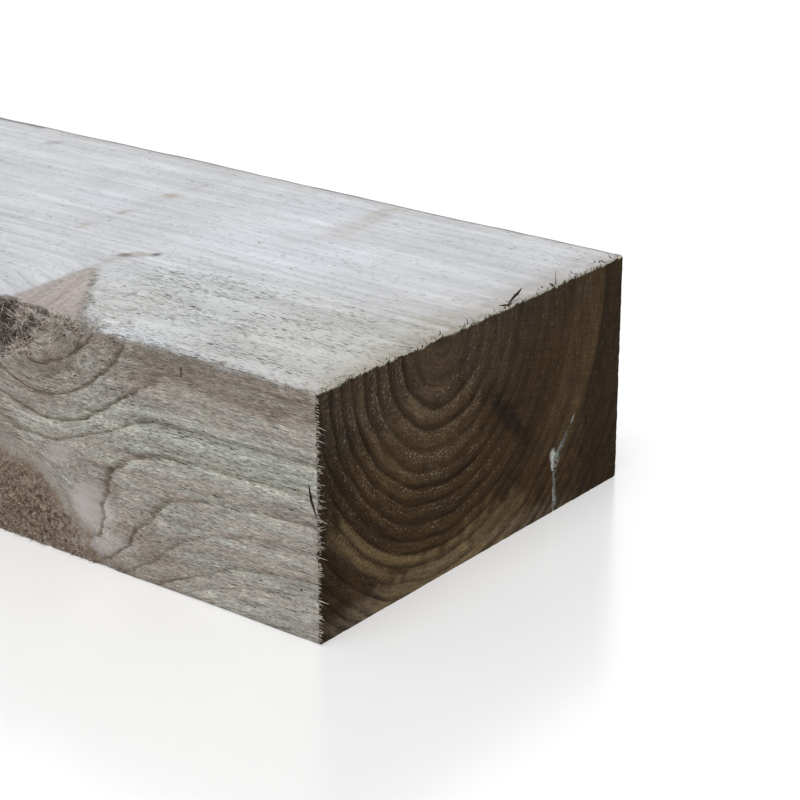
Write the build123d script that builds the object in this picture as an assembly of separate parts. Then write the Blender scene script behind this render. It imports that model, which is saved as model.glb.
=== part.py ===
"""Sawn softwood railway sleeper, stored lying flat on its wide face.

The sleeper is one solid piece of timber: a rectangular section sawn to length, with its long
arrises eased, a knot torn out of the near top arris and a drying check in the end grain.

Frame, in millimetres: the origin is at the middle of the underside, +X runs along the sleeper
towards the end that has the check, +Y runs from the near side, which has the torn knot, to the
far side, and +Z is up.
"""

import os
from math import hypot

from build123d import *

# Sawn sizes of the sleeper
SLEEPER_LENGTH = 2400.0
SLEEPER_WIDTH = 200.0
SLEEPER_HEIGHT = 100.0
ARRIS_RADIUS = 1.0

# Knot torn out of the near top arris. Its sizes are those of the largest scoop.
TEAR_FROM_END = 147.0
TEAR_LENGTH = 44.0
TEAR_REACH_IN = 6.0
TEAR_REACH_DOWN = 20.0
TEAR_AXIS_OUT = 20.0
# Each scoop: its place along the tear, its length, its reach in and its reach down
SCOOP_SHARES = (
    (0.0, 1.0, 1.0, 1.0),
    (-0.34, 0.36, 1.35, 1.25),
    (0.62, 0.5, 0.4, 0.3),
)

# Drying check in the end grain, which opens through the underside
CHECK_FROM_NEAR_SIDE = 153.0
CHECK_FOOT_WIDTH = 1.2
CHECK_KNEE_HEIGHT = 19.0
CHECK_KNEE_WIDTH = 3.0
CHECK_KNEE_RISE = 5.0
CHECK_TIP_HEIGHT = 37.0
CHECK_TIP_LEAN = 12.0
CHECK_TIP_WIDTH = 0.5
CHECK_DEPTH = 9.0
# Width left at the bottom of the check
CHECK_ROOT_SHARE = 0.25

# How far cutters pass beyond the faces that they cut
CUT_OVERRUN = 2.0

# Planes of the sawn faces
END_X = SLEEPER_LENGTH / 2
NEAR_SIDE_Y = -SLEEPER_WIDTH / 2
TOP_Z = SLEEPER_HEIGHT


def sawn_body() -> Part:
    """The sawn section run to length, with its four long arrises eased."""
    section = RectangleRounded(SLEEPER_WIDTH, SLEEPER_HEIGHT, ARRIS_RADIUS)
    standing = Plane.YZ.offset(-END_X) * Pos(0, SLEEPER_HEIGHT / 2) * section
    return extrude(standing, SLEEPER_LENGTH)


def torn_scoop(middle_x: float, length: float, reach_in: float, reach_down: float) -> Part:
    """A barrel, turned about a line beside the near top arris, that tears a scoop out of it.

    At its middle the barrel reaches `reach_in` across the top and `reach_down` the side. At
    both of its ends it only meets the arris, so the scoop dies out there.
    """
    axis_down = (reach_down**2 - reach_in**2 - 2 * TEAR_AXIS_OUT * reach_in) / (2 * reach_down)
    middle_radius = hypot(TEAR_AXIS_OUT, reach_down - axis_down)
    end_radius = hypot(TEAR_AXIS_OUT, axis_down)
    belly = ThreePointArc(
        (-length / 2, end_radius), (0, middle_radius), (length / 2, end_radius)
    )
    rim = Polyline(belly @ 1, (length / 2, 0), (-length / 2, 0), belly @ 0)
    barrel = revolve(make_face(belly + rim), Axis.X)
    return Pos(middle_x, NEAR_SIDE_Y - TEAR_AXIS_OUT, TOP_Z - axis_down) * barrel


def torn_knot() -> Part:
    """All the scoops that the knot left where it tore out."""
    scoops = [
        torn_scoop(
            END_X - TEAR_FROM_END + place * TEAR_LENGTH,
            long * TEAR_LENGTH,
            inward * TEAR_REACH_IN,
            down * TEAR_REACH_DOWN,
        )
        for place, long, inward, down in SCOOP_SHARES
    ]
    return scoops[0].fuse(*scoops[1:])


def check_outline(width_share: float) -> Face:
    """The check as it shows in the end grain, at a share of its widths.

    It rises from the underside to a wide knee, and from there a fine crack leans along a growth
    ring towards the far side.
    """
    foot = CHECK_FOOT_WIDTH * width_share / 2
    knee = CHECK_KNEE_WIDTH * width_share / 2
    tip = CHECK_TIP_WIDTH * width_share / 2
    return make_face(
        Polyline(
            (-foot, -CUT_OVERRUN),
            (foot, -CUT_OVERRUN),
            (knee, CHECK_KNEE_HEIGHT),
            (CHECK_TIP_LEAN + tip, CHECK_TIP_HEIGHT),
            (CHECK_TIP_LEAN - tip, CHECK_TIP_HEIGHT),
            (-knee, CHECK_KNEE_HEIGHT + CHECK_KNEE_RISE),
            close=True,
        )
    )


def drying_check() -> Part:
    """The check's opening, which narrows from the end face to its root."""
    end_face = Plane.YZ.offset(END_X) * Pos(NEAR_SIDE_Y + CHECK_FROM_NEAR_SIDE, 0)
    root_face = Plane.YZ.offset(END_X - CHECK_DEPTH) * Pos(NEAR_SIDE_Y + CHECK_FROM_NEAR_SIDE, 0)
    mouth = end_face * check_outline(1)
    root = root_face * check_outline(CHECK_ROOT_SHARE)
    return loft([root, mouth], ruled=True) + extrude(mouth, CUT_OVERRUN)


def sleeper() -> Part:
    """The whole sleeper."""
    return sawn_body() - torn_knot() - drying_check()


os.makedirs("parts", exist_ok=True)
export_step(sleeper(), "parts/sleeper.step")
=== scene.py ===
"""Looks of a sawn softwood railway sleeper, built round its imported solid.

The sleeper's surface is one closed mesh, fine where the torn knot, the drying check and the sawn
edges need it. Its wood is one model of the log that it was sawn from, with a pith, growth layers
and branches. All six faces cut that same log, so the rings on the ends, the lines along the faces
and the knots agree. Lengths are in millimetres until a mesh is written in metres.
"""

import logging
import math
from collections.abc import Callable
from dataclasses import dataclass, field
from enum import Enum, IntEnum
from functools import partial
from typing import Any

import bpy
import numpy as np
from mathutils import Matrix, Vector
from mathutils.bvhtree import BVHTree


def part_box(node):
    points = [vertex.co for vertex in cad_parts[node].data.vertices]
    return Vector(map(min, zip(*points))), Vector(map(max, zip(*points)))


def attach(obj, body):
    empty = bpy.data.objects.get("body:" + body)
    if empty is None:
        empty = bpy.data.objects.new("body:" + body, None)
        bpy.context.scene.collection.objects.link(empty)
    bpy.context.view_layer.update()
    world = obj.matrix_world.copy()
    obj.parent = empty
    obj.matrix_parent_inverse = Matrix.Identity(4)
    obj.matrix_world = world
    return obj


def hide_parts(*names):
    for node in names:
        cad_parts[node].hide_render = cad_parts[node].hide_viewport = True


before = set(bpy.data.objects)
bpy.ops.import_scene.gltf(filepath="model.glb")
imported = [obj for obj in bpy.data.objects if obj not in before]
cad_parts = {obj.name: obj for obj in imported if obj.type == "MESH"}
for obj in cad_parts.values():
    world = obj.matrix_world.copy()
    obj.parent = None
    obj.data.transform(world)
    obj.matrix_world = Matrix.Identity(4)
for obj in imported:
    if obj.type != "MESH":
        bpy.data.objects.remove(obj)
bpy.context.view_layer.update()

LOG = logging.getLogger("sleeper")
NODE = "sleeper"
BODY = "root"
MM = 0.001

# Sockets of a colour Mix node
FACTOR, FIRST, SECOND = 0, 6, 7

Size = tuple[float, float, float]
Adder = Callable[..., bpy.types.NodeSocket]


class Seed(IntEnum):
    """Seeds of the random fields and draws, by what each of them shapes.

    The crumbs are a field and the loose fibres are draws, so that they can share a number.
    """

    SWELL = 1
    LIFTED_GRAIN = 2
    END_RELIEF = 3
    TORN_LUMPS = 4
    TORN_BITS = 5
    CRUMBLED_EDGE = 6
    BLEACHED_EDGE = 7
    MARK_EDGE = 8
    PATCHES = 10
    CRUMBS = 11
    LOOSE_FIBRES = 11
    TEAR_HEM = 12
    KNOT_LUMPS = 13
    PITS = 14
    CLUMPS = 15
    BRANCHES = 41
    LATE_WOOD = 42


def linear(code: str) -> tuple[float, float, float, float]:
    """Turn an sRGB hex colour into the linear colour that a shader takes.

    Args:
        code: six hex digits.

    Returns:
        Red, green, blue and an alpha of 1.
    """
    parts = [int(code[i:i + 2], 16) / 255 for i in (0, 2, 4)]
    red, green, blue = [p / 12.92 if p <= 0.04045 else ((p + 0.055) / 1.055) ** 2.4 for p in parts]
    return red, green, blue, 1.0


def add_node(
    tree: bpy.types.NodeTree, kind: str, sockets: dict | None = None, out: str = "",
    size: Size | None = None, **settings: Any,
) -> bpy.types.NodeSocket:
    """Add a shader node with its settings and links.

    Args:
        tree: the node tree that it goes into.
        kind: the node's type, without its ShaderNode prefix.
        sockets: what goes into its inputs, each a constant or the output of another node.
        out: which output is wanted, where that isn't the first one in use.
        size: about how long a pattern's swells are along each axis, in millimetres.
        settings: the node's own properties.

    Returns:
        The wanted output, or None for a node that has none.
    """
    sockets = dict(sockets or {})
    if size:
        swells = add_node(tree, "VectorMath", {0: sockets["Vector"], 1: size}, operation="DIVIDE")
        sockets.update({"Vector": swells, "Scale": 1.0})
    node = tree.nodes.new("ShaderNode" + kind)
    for name, value in settings.items():
        setattr(node, name, value)
    for key, value in sockets.items():
        if isinstance(value, bpy.types.NodeSocket):
            tree.links.new(value, node.inputs[key])
        else:
            node.inputs[key].default_value = value
    if out:
        return node.outputs[out]
    return next((o for o in node.outputs if o.enabled), None)


def new_material(name: str) -> tuple[bpy.types.Material, Adder]:
    """Start a node material.

    Args:
        name: what it is called.

    Returns:
        The empty material, and what adds nodes to it.
    """
    material = bpy.data.materials.new(name)
    material.use_nodes = True
    material.node_tree.nodes.clear()
    return material, partial(add_node, material.node_tree)


def smooth_mesh(name: str, corners: np.ndarray, faces: list) -> bpy.types.Mesh:
    """Make a smooth-shaded mesh.

    Args:
        name: what it is called.
        corners: rows of x, y and z, in millimetres.
        faces: the corners of each polygon, by number.

    Returns:
        The mesh, in metres.
    """
    mesh = bpy.data.meshes.new(name)
    mesh.from_pydata((corners * MM).tolist(), [], faces)
    mesh.polygons.foreach_set("use_smooth", [True] * len(mesh.polygons))
    return mesh


def linked(name: str, data: Any) -> bpy.types.Object:
    """Put a new object into the scene.

    Args:
        name: what it is called.
        data: its mesh, lamp or camera.

    Returns:
        The object.
    """
    item = bpy.data.objects.new(name, data)
    bpy.context.scene.collection.objects.link(item)
    return item


def unevenness(points: np.ndarray, lengths: Size, seed: Seed, count: int = 40) -> np.ndarray:
    """Smooth, seeded unevenness with a spread of about 1, as a sum of waves.

    Args:
        points: rows of x, y and z.
        lengths: about how long its swells are along x, y and z.
        seed: picks one of many such fields.
        count: how many waves.

    Returns:
        One value for each point.
    """
    radians_per_length = 2.2
    rng = np.random.default_rng(int(seed))
    waves = rng.normal(size=(count, 3)) * radians_per_length
    starts = rng.uniform(0, 2 * math.pi, count)
    heights = np.sin((points / np.array(lengths)) @ waves.T + starts)
    return heights.sum(axis=1) / math.sqrt(count / 2)


def smooth(low: float, high: float, values: np.ndarray) -> np.ndarray:
    """Ease from 0 at low to 1 at high."""
    share = np.clip((values - low) / (high - low), 0, 1)
    return share * share * (3 - 2 * share)


class Face(Enum):
    """The six sawn faces: the axis that each is square to, its end of it and its running axes."""

    NEAR_SIDE = (1, 0, 0, 2)
    FAR_SIDE = (1, 1, 0, 2)
    UNDERSIDE = (2, 0, 0, 1)
    TOP = (2, 1, 0, 1)
    PLAIN_END = (0, 0, 1, 2)
    CHECKED_END = (0, 1, 1, 2)

    @property
    def is_end(self) -> bool:
        """Whether this face shows end grain."""
        return self.value[0] == 0

    @property
    def winds_outward(self) -> bool:
        """Whether a corner order of first, then second running axis faces outward."""
        return self in (Face.NEAR_SIDE, Face.TOP, Face.CHECKED_END)


class Tint(Enum):
    """Colours that weather, resin, knots and handling leave on the wood."""

    TAN = "A79A86"
    BROWN = "6B5744"
    RUST = "957C66"
    BLUSH = "B3A6A1"
    LILAC = "C0B8B6"
    GREEN = "C2C6BC"
    DARK = "2B231B"
    OLIVE = "857152"
    CHALK = "C9CFCB"
    FROST = "DDDFE7"

    @property
    def attribute(self) -> str:
        """Name of the mesh attribute that holds how strong this tint is."""
        return "tint_" + self.name.lower()


@dataclass(frozen=True)
class Mark:
    """A soft-edged patch of one tint on a face.

    Attributes:
        tint: its colour.
        place: its middle, along the face's two running axes. A long face counts from the checked
            end, and widths count from the near side.
        reach: its half sizes along those axes.
        strength: how much of the tint it has.
        turn: how far it is turned, in degrees.
        ragged: how uneven its edge is, as a share of its reach.
        rings: the growth layers that it keeps to, by their distance from the pith.
    """

    tint: Tint
    place: tuple[float, float]
    reach: tuple[float, float]
    strength: float
    turn: float = 0.0
    ragged: float = 0.25
    rings: tuple[float, float] = (0.0, 400.0)


@dataclass(frozen=True)
class Branch:
    """A branch that the log grew round: a cone from the pith outwards.

    Attributes:
        from_end: where it leaves the pith, from the checked end.
        bearing: its direction round the pith, in degrees from the far side towards the top.
        lean: how far it leans towards the checked end, in degrees.
        spread: how fast its radius grows outwards.
        swell: how strongly the trunk's layers swell round it.
        lead: how far ahead of the trunk's surface it grew, as a share.
        flare: how far past its own radius the layers turn out with it, as a multiple.
        edge: how gradually the trunk's wood gives way to it, in millimetres.
        fullness: how full the curves of the layers round it are: 1 is a diamond, 2 an ellipse.
    """

    from_end: float
    bearing: float
    lean: float
    spread: float
    swell: float = 1.0
    lead: float = 0.3
    flare: float = 1.0
    edge: float = 1.5
    fullness: float = 2.0

    def direction(self) -> np.ndarray:
        """Work out which way the branch grows.

        Returns:
            A unit vector along it.
        """
        lean, bearing = math.radians(self.lean), math.radians(self.bearing)
        out = math.cos(lean)
        return np.array([math.sin(lean), out * math.cos(bearing), out * math.sin(bearing)])


@dataclass
class GrownLog:
    """The log that the sleeper was sawn from.

    Attributes:
        end_x: the checked end, in the sleeper's frame.
        length: the sleeper's length.
        pith: y and z of the pith at the checked end.
        pith_drift: how far the pith has moved at the plain end.
        layer_radii: radii of the growth layers' dark late wood, from the pith to the bark.
        bold_layers: which of them are darkest.
        thickening: how much thicker the layers grew on the log's far side, as a share.
        swell_start: radius inside which the layers don't swell round a branch.
        swell_rate: how fast that swelling grows outwards, for each millimetre squared.
        swell_most: how far the layers swell at most.
        swell_reach: how far along the log the swelling fades.
        swell_turn: how far round the log it fades, in degrees.
        stretch: how much further a branch's layers reach along the log than round it.
        crotch: width of the fillet between branch and trunk, in millimetres of growth.
        knot_start: how far from the pith a branch is still too thin to see.
        whorls: where further rings of branches leave the pith, from the checked end.
        branches: all the branches, grown from these.
    """

    end_x: float
    length: float
    pith: tuple[float, float] = (-25.0, 98.5)
    pith_drift: tuple[float, float] = (16.0, -24.0)
    layer_radii: tuple[float, ...] = (
        0, 10, 18, 26, 34, 42, 49.5, 56, 62, 69, 75.8, 80, 85, 91, 97, 104, 108, 112, 118, 123, 129,
        134, 140, 145, 151, 157, 163, 169, 176, 183, 190,
    )
    bold_layers: tuple[int, ...] = (8, 9, 10, 12, 13, 15)
    thickening: float = 0.07
    swell_start: float = 61.0
    swell_rate: float = 0.0152
    swell_most: float = 38.0
    swell_reach: float = 60.0
    swell_turn: float = 13.0
    stretch: float = 1.5
    crotch: float = 4.0
    knot_start: float = 16.0
    whorls: tuple[float, ...] = (612.0, 1075.0, 1498.0, 1957.0, 2310.0)
    branches: list[Branch] = field(default_factory=list)

    def __post_init__(self) -> None:
        """Grow the branches: three near the checked end, and the rest at random at the whorls."""
        self.branches = [
            Branch(170, 180, 20, 0.32, 0.0, 0.667, 1.8, fullness=1.5),
            Branch(199, 235.4, 20, 0.302, edge=8.5),
            Branch(152, 305, -4, 0.13, 0.4),
        ]
        rng = np.random.default_rng(int(Seed.BRANCHES))
        for whorl in self.whorls:
            count = rng.integers(3, 6)
            first = rng.uniform(0, 360)
            for turn in range(count):
                self.branches.append(Branch(
                    whorl + rng.uniform(-14, 14),
                    first + 360 * turn / count + rng.uniform(-16, 16),
                    rng.uniform(-4, 14),
                    rng.uniform(0.1, 0.24),
                    rng.uniform(0.2, 0.6),
                ))

    def pith_at(self, from_end: np.ndarray) -> np.ndarray:
        """Rows of y and z of the pith, at distances from the checked end."""
        share = (1 - np.cos(math.pi * from_end / self.length)) / 2
        return np.array(self.pith) + share[:, None] * np.array(self.pith_drift)

    def start_of(self, branch: Branch) -> np.ndarray:
        """Where a branch leaves the pith."""
        pith = self.pith_at(np.array([branch.from_end]))[0]
        return np.array([self.end_x - branch.from_end, *pith])

    def beside(
        self, branch: Branch, from_end: np.ndarray, radius: np.ndarray, turn: np.ndarray
    ) -> tuple[np.ndarray, np.ndarray]:
        """How far places lie from where a branch passes their radius.

        Args:
            branch: the branch.
            from_end, radius, turn: the places, by distance from the checked end and from the pith,
                and by angle round it.

        Returns:
            How far along the log, in millimetres, and how far round it.
        """
        passes = branch.from_end - radius * math.tan(math.radians(branch.lean))
        return from_end - passes, np.angle(np.exp(1j * (turn - math.radians(branch.bearing))))

    def swelling(
        self, branch: Branch, radius: np.ndarray, along: np.ndarray, apart: np.ndarray
    ) -> np.ndarray:
        """How far the trunk's layers swell outwards round a branch.

        Args:
            branch: the branch.
            radius: how far the places are from the pith.
            along, apart: how far they are from the branch, along the log and round it.

        Returns:
            The swelling at each place, in millimetres.
        """
        wide = math.radians(self.swell_turn)
        fade = (along / self.swell_reach) ** 2 + (np.maximum(np.abs(apart) - wide, 0) / wide) ** 2
        height = self.swell_rate * np.maximum(radius - self.swell_start, 0) ** 2
        height = height / (1 + (height / self.swell_most) ** 10) ** 0.1
        return branch.swell * height * np.exp(-fade / 2)

    def shells(
        self, branch: Branch, radius: np.ndarray, along: np.ndarray, apart: np.ndarray
    ) -> np.ndarray:
        """Growth of the layers that lie round a branch.

        Args:
            branch: the branch.
            radius: how far the places are from the pith.
            along, apart: how far they are from the branch, along the log and round it.

        Returns:
            The radius that each place's layer has in the trunk.
        """
        power = branch.fullness
        sides = np.abs(along / self.stretch) ** power + np.abs(radius * apart) ** power
        away = sides ** (1 / power)
        slope = (1 - branch.lead) / (branch.flare * branch.spread)
        return branch.lead * radius * np.cos(apart) + slope * away

    def read(self, points: np.ndarray, whole: np.ndarray) -> dict[str, np.ndarray]:
        """Read the wood at points of the sleeper.

        Args:
            points: rows of x, y and z in the sleeper's frame.
            whole: share of its knots that each point still has, where one tore out.

        Returns:
            wood: the points moved back to where their fibres would run straight along the log.
            round: places on the end grain, along the layers and across them.
            growth: which growth layer each lies in, counted from the pith.
            late: how dark the nearest layer's late wood is.
            knot: how far inside a branch each lies, from 0 outside to 1.
            bark: how near each lies to a branch's bark, from 0 to 1.
        """
        from_end = self.end_x - points[:, 0]
        pith = self.pith_at(from_end)
        across = points[:, 1:] - pith
        radius = np.hypot(across[:, 0], across[:, 1])
        turn = np.arctan2(across[:, 1], across[:, 0])
        bearing = np.degrees(turn) % 360
        far = np.where(bearing > 180, smooth(212, 272, bearing), 1 - smooth(20, 160, bearing))
        radius = radius / (1 + self.thickening * far)
        swollen = np.zeros(len(points))
        shift = np.zeros_like(points)
        inner = np.zeros_like(points)
        shells = []
        knot = np.zeros(len(points))
        bark = np.zeros(len(points))
        for branch in self.branches:
            along, apart = self.beside(branch, from_end, radius, turn)
            swollen += self.swelling(branch, radius, along, apart)
            shells.append(self.shells(branch, radius, along, apart))
            away = points - self.start_of(branch)
            out = away @ branch.direction()
            offset = away - out[:, None] * branch.direction()
            away = np.linalg.norm(offset, axis=1)
            girth = branch.spread * np.maximum(out - self.knot_start, 0) + 0.01
            grown = out - self.knot_start
            inside = smooth(-branch.edge, branch.edge, girth - away) * smooth(2, 8, grown) * whole
            knot = np.maximum(knot, inside)
            rim = np.exp(-(((away - girth) / 1.5) ** 2)) * smooth(4, 16, grown)
            rim *= whole * 1.5 / branch.edge
            bark = np.maximum(bark, rim * (0.15 + 0.85 * smooth(-3, 3, offset[:, 0])))
            # Fibres bend round the branch, most where they pass close by
            pull = 0.82 * np.minimum(1, (girth / np.maximum(away, 0.01)) ** 4)
            shift += offset * (pull * smooth(0, 10, out) * whole)[:, None]
            along_branch = np.column_stack((out, offset[:, 0], away))
            inner += inside[:, None] * (along_branch - inner)
        growth = np.maximum(radius - swollen, 0.4 * radius)
        for own in shells:
            gap = np.maximum(self.crotch - np.abs(growth - own), 0) / self.crotch
            growth = np.minimum(growth, own) - gap * gap * self.crotch / 4
        wood = points - shift
        bulge = np.clip(radius - growth, 0, 0.5 * radius)
        drawn_in = (radius - 0.4 * bulge) / np.maximum(radius, 0.01)
        wood[:, 1:] = pith + (wood[:, 1:] - pith) * drawn_in[:, None]
        wood += knot[:, None] * (inner - wood)
        # A face that only grazes a layer hardly shows its line
        steep = np.abs(across).min(axis=1) / np.maximum(radius, 0.01)
        shown = np.maximum(smooth(0.02, 0.2, steep), smooth(1, 4, bulge))
        layers = np.interp(growth, self.layer_radii, np.arange(len(self.layer_radii)))
        rng = np.random.default_rng(int(Seed.LATE_WOOD))
        strengths = rng.uniform(0.55, 0.85, len(self.layer_radii))
        strengths[list(self.bold_layers)] = 1.0
        late = strengths[np.rint(layers).astype(int)] * shown
        arc = radius * np.abs(np.angle(np.exp(1j * (turn + math.pi / 2))))
        ends = np.column_stack((arc, radius, 0.3 * points[:, 1]))
        return {
            "wood": wood, "round": ends, "growth": layers, "late": late, "knot": knot, "bark": bark,
        }


@dataclass(frozen=True)
class FineZone:
    """A box of space in which the surface mesh is finer.

    Attributes:
        low, high: its corners. Distances along the sleeper count from the checked end.
        cell: the largest cell in it.
    """

    low: Size
    high: Size
    cell: float


@dataclass(frozen=True)
class SawnSoftwood:
    """Pine sawn on a band saw, pressure-treated and left out to weather.

    The blade lifts the soft early wood into short fibres, so a face is chalky, with no shine, and
    looks combed along the grain. The hard late wood stays as thin darker lines. Sun bleaches the
    face that lies uppermost to a pale grey, and the others keep a warm grey-brown.

    Attributes:
        name: the material's name.
        early: colour of a face that is not bleached.
        bleached: colour of the bleached face.
        late: what is left of that colour in the lines of late wood.
        fleck: what is left of it in the pits between torn fibres, as painted shade.
        green, pink: the treatment and the resin tinge the grey in long streaks.
        torn, torn_dark, torn_hollow_shade, shred: colours of torn wood, of its hollows, of the
        painted shade deep in the hollow where the knot came out, and of its loose fibres.
        knot_dark: what is left of the colour in the crumbly parts of a knot.
        fibre, nap: size of a lifted bundle of fibres and of a finer one, along the grain and
            across it. A single fibre is too fine to show.
        grit: size of the roughness across all grain.
        streak: size of a streak of colour.
        pit: size of a pit.
        relief: height of the fibres.
        roughness, specular: how dull the wood is, and how much it mirrors.
    """

    name: str = "bandsawn_weathered_pine"
    early: str = "AAA39B"
    bleached: str = "CED0D4"
    late: str = "A69D91"
    fleck: str = "6E665C"
    green: str = "BEC1B9"
    pink: str = "A89C94"
    torn: str = "B3A8A0"
    torn_dark: str = "4F4137"
    torn_hollow_shade: str = "40332B"
    shred: str = "DCD7D2"
    knot_dark: str = "8A7A6C"
    fibre: Size = (6.0, 0.42, 0.42)
    nap: Size = (2.2, 0.34, 0.34)
    grit: Size = (0.9, 0.5, 0.5)
    streak: Size = (70.0, 4.2, 4.2)
    pit: Size = (4.2, 0.44, 0.44)
    relief: float = 0.22
    roughness: float = 0.93
    specular: float = 0.25

    def material(self) -> bpy.types.Material:
        """Make the material.

        Returns:
            A material that reads the wood's attributes from the mesh.
        """
        material, add = new_material(self.name)
        wood = add("Attribute", attribute_name="wood", out="Vector")
        place = add("TexCoord", out="Object")
        place = add("VectorMath", {0: place, "Scale": 1 / MM}, operation="SCALE")
        growth, late, knot, bark, torn, bleach, comb, pitted = (
            add("Attribute", attribute_name=name, out="Fac")
            for name in ("growth", "late", "knot", "bark", "torn", "bleach", "comb", "pitted")
        )

        # Growth layers: a thin line of late wood that darkens slowly, ends sharply and is broken
        sway = add("TexNoise", {"Vector": wood, "Detail": 3.0}, size=(80, 9, 9))
        sway = add("MapRange", {0: sway, 3: -0.3, 4: 0.3})
        layer = add("Math", {0: sway, 1: growth}, operation="ADD")
        waver = add("TexNoise", {"Vector": wood}, size=(9, 1.6, 1.6))
        waver = add("MapRange", {0: waver, 3: -0.07, 4: 0.07})
        layer = add("Math", {0: waver, 1: layer}, operation="ADD")
        phase = add("Math", {0: layer}, operation="FRACT")
        rise = add("MapRange", {0: phase, 1: 0.74, 2: 0.94}, interpolation_type="SMOOTHSTEP")
        haze = add("MapRange", {0: phase, 1: 0.25, 2: 0.95, 4: 0.35})
        rise = add("Math", {0: rise, 1: haze}, operation="MAXIMUM")
        fall = add("MapRange", {0: phase, 1: 1.0, 2: 0.96}, interpolation_type="SMOOTHSTEP")
        broken = add("TexNoise", {"Vector": wood, "Detail": 3.0}, size=(14, 2.0, 2.0))
        broken = add("MapRange", {0: broken, 1: 0.36, 2: 0.6, 3: 0.62})
        line = late
        for part in (rise, fall, broken):
            line = add("Math", {0: line, 1: part}, operation="MULTIPLY")

        # Combed fibres, the roughness across all grain, streaks of colour and pits
        combed = add(
            "TexNoise", {"Vector": wood, "Detail": 3.0, "Roughness": 0.65}, size=self.fibre
        )
        grit = add("TexNoise", {"Vector": place, "Detail": 3.0, "Roughness": 0.7}, size=self.grit)
        nap = add("TexNoise", {"Vector": wood, "Detail": 1.0}, size=self.nap)
        crossed = add("MapRange", {0: knot, 3: 0.3, 4: 0.9})
        rough = add("Mix", {0: crossed, 2: combed, 3: grit})
        streak = add("TexNoise", {"Vector": wood, "Detail": 3.0}, size=self.streak, out="Color")
        streaks = add("SeparateColor", {0: streak}).node.outputs
        # Pits: the fleck that darkens them further down is painted shade
        pits = add("TexNoise", {"Vector": wood, "Detail": 2.0, "Roughness": 0.6}, size=self.pit)
        pits = add("Math", {0: pitted, 1: 0.1, 2: pits}, operation="MULTIPLY_ADD")
        pits = add("MapRange", {0: pits, 1: 0.66, 2: 0.72}, interpolation_type="SMOOTHSTEP")
        cloud = add("TexNoise", {"Vector": place, "Detail": 3.0}, size=(40, 25, 25))

        # Colour: streaks, bleaching, then the marks and the knots
        green = add("MapRange", {0: streaks[0], 1: 0.48, 2: 0.64, 4: 0.6})
        pink = add("MapRange", {0: streaks[1], 1: 0.5, 2: 0.66, 4: 0.55})
        tones = [(green, self.green), (pink, self.pink), (bleach, self.bleached)]
        tones += [
            (add("Attribute", attribute_name=tint.attribute, out="Fac"), tint.value)
            for tint in Tint
        ]
        colour = linear(self.early)
        for share, tone in tones:
            sockets = {FACTOR: share, FIRST: colour, SECOND: linear(tone)}
            colour = add("Mix", sockets, data_type="RGBA")

        # Darkening: late wood, rough knots, bark, painted shade in the pits, fibres and slow
        # changes along the face
        speck = add(
            "TexNoise", {"Vector": place, "Detail": 5.0, "Roughness": 0.7}, size=(2.4, 2.0, 2.0)
        )
        speck = add("MapRange", {0: speck, 1: 0.38, 2: 0.58, 3: 1.0, 4: 0.0})
        dry = add("Math", {0: bleach, 1: -0.7, 2: 1.0}, operation="MULTIPLY_ADD")
        for part in (knot, dry):
            speck = add("Math", {0: speck, 1: part}, operation="MULTIPLY")
        bark_bits = add(
            "TexNoise", {"Vector": place, "Detail": 4.0, "Roughness": 0.7}, size=(2.6, 2.2, 2.2)
        )
        bark_bits = add("MapRange", {0: bark_bits, 1: 0.47, 2: 0.57})
        bark_bits = add("Math", {0: bark_bits, 1: bark}, operation="MULTIPLY")
        darker = ((line, self.late), (speck, self.knot_dark), (bark_bits, self.fleck),
                  (bark_bits, self.fleck), (pits, self.fleck))
        shades = [(share, linear(tone)) for share, tone in darker]
        fibres = add("MapRange", {0: rough, 1: 0.38, 2: 0.62, 3: 0.58, 4: 1.40})
        grain = add("TexNoise", {"Vector": wood, "Detail": 3.0}, size=(34, 2.6, 2.6))
        grain = add("MapRange", {0: grain, 1: 0.3, 2: 0.7, 3: 0.79, 4: 1.19})
        clouds = add("MapRange", {0: cloud, 1: 0.3, 2: 0.7, 3: 0.93, 4: 1.05})
        bands = add("TexNoise", {"Vector": wood, "Detail": 2.0}, size=(70, 3.6, 3.6))
        bands = add("MapRange", {0: bands, 1: 0.3, 2: 0.7, 3: 0.88, 4: 1.1})
        sound = add("Math", {0: knot, 1: -0.8, 2: 1.0}, operation="MULTIPLY_ADD")
        sound = add("Math", {0: sound, 1: comb}, operation="MULTIPLY")
        nap = add("MapRange", {0: nap, 1: 0.3, 2: 0.7, 3: 0.68, 4: 1.32})
        shades += [(comb, fibres), (comb, nap), (sound, grain), (1.0, clouds), (1.0, bands)]
        for share, shade in shades:
            sockets = {FACTOR: share, FIRST: colour, SECOND: shade}
            colour = add("Mix", sockets, data_type="RGBA", blend_type="MULTIPLY")
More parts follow.
